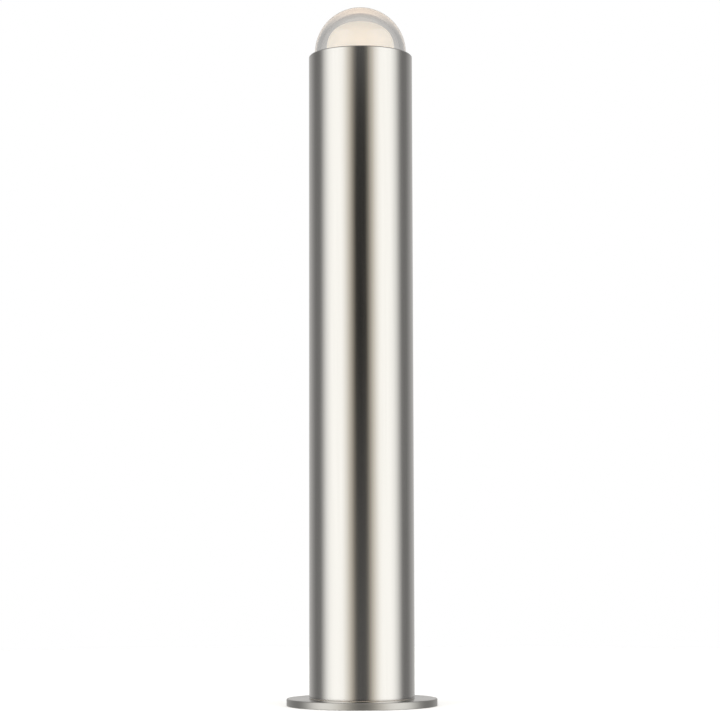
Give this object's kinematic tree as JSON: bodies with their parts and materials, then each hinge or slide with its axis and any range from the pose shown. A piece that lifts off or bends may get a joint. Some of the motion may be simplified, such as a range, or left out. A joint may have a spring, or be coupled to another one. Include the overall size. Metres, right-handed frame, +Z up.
{
  "type": "bollard light",
  "caption": "Satin stainless tube on a round base flange, with a screw-in clear glass dome over a lit opal diffuser at its top",
  "frame": {"origin": "centre of the base flange's underside", "axes": "+Z up along the tube, -Y the front, with the set screws at the back on the +Y side"},
  "size_m": [0.127, 0.127, 0.5972],
  "materials": {
    "satin_stainless": "satin, fine lengthwise grain",
    "black_rubber": "matte",
    "foam_gasket": "closed-cell foam",
    "cast_aluminium": "turned",
    "black_anodised": "black anodised",
    "clear_glass": "clear, polished",
    "opal_plastic": "opal, lit from inside",
    "white_silicone": "matte",
    "circuit_board": "white solder mask on aluminium",
    "led_phosphor": "silicone over phosphor",
    "white_sheet": "matte",
    "white_plastic": "moulded",
    "black_plastic": "moulded",
    "zinc_steel": "zinc plated",
    "stainless_fastener": "bright",
    "spring_wire": "drawn wire",
    "brass": "plain",
    "thermal_silicone": "matte",
    "red_insulation": "extruded",
    "black_insulation": "extruded",
    "brown_insulation": "extruded",
    "blue_insulation": "extruded",
    "green_insulation": "extruded",
    "grey_nylon": "moulded"
  },
  "bodies": {
    "base": {"base_flange": "satin_stainless", "base_gasket": "foam_gasket", "spigot": "cast_aluminium", "spigot_oring": "black_rubber", "spigot_screws": "stainless_fastener", "foot_seal": "white_silicone", "cable_grommet": "black_rubber", "earth_stud": "brass", "earth_washer": "brass", "earth_nut": "brass"},
    "sleeve": {"tube": "satin_stainless", "tube_set_screws": "stainless_fastener", "head_seat_ring": "zinc_steel", "head_cup": "cast_aluminium", "head_oring": "black_rubber", "head_screws": "stainless_fastener", "thermal_pad": "thermal_silicone", "led_board": "circuit_board", "led_chips": "led_phosphor", "reflector_sheet": "white_sheet", "board_screws": "stainless_fastener", "led_connector": "white_plastic", "opal_diffuser": "opal_plastic", "diffuser_snap_ring": "spring_wire", "heat_sink": "black_anodised", "heat_sink_screws": "stainless_fastener", "gear_tray": "zinc_steel", "tray_screws": "stainless_fastener", "tray_guide": "grey_nylon", "guide_screws": "stainless_fastener", "driver_case": "white_plastic", "driver_cap_upper": "black_plastic", "driver_cap_lower": "black_plastic", "driver_screws": "stainless_fastener", "terminal_block": "white_plastic", "terminal_screws": "brass", "terminal_fixing_screws": "stainless_fastener", "cord_grip": "black_plastic", "cord_grip_screws": "stainless_fastener", "led_lead_positive": "red_insulation", "led_lead_negative": "black_insulation", "live_lead": "brown_insulation", "neutral_lead": "blue_insulation", "earth_lead": "green_insulation"},
    "seal": {"dome_seal": "white_silicone"},
    "dome": {"glass_dome": "clear_glass", "dome_collar": "cast_aluminium", "dome_bond": "white_silicone"}
  },
  "joints": [
    {"name": "sleeve_lift", "type": "slide", "parent": "base", "child": "sleeve", "axis": [0, 0, 1], "range_m": [0, 0.05]},
    {"name": "dome_rise", "type": "slide", "parent": "sleeve", "child": "seal", "axis": [0, 0, 1], "range_m": [0, 0.008]},
    {"name": "dome_turn", "type": "hinge", "parent": "seal", "child": "dome", "pos_m": [0, 0, 0.536], "axis": [0, 0, 1], "range_deg": [0, 720]}
  ],
  "couplings": [
    {"joint": "dome_rise", "follows": "dome_turn", "m_per_rad": 0.00063661}
  ]
}
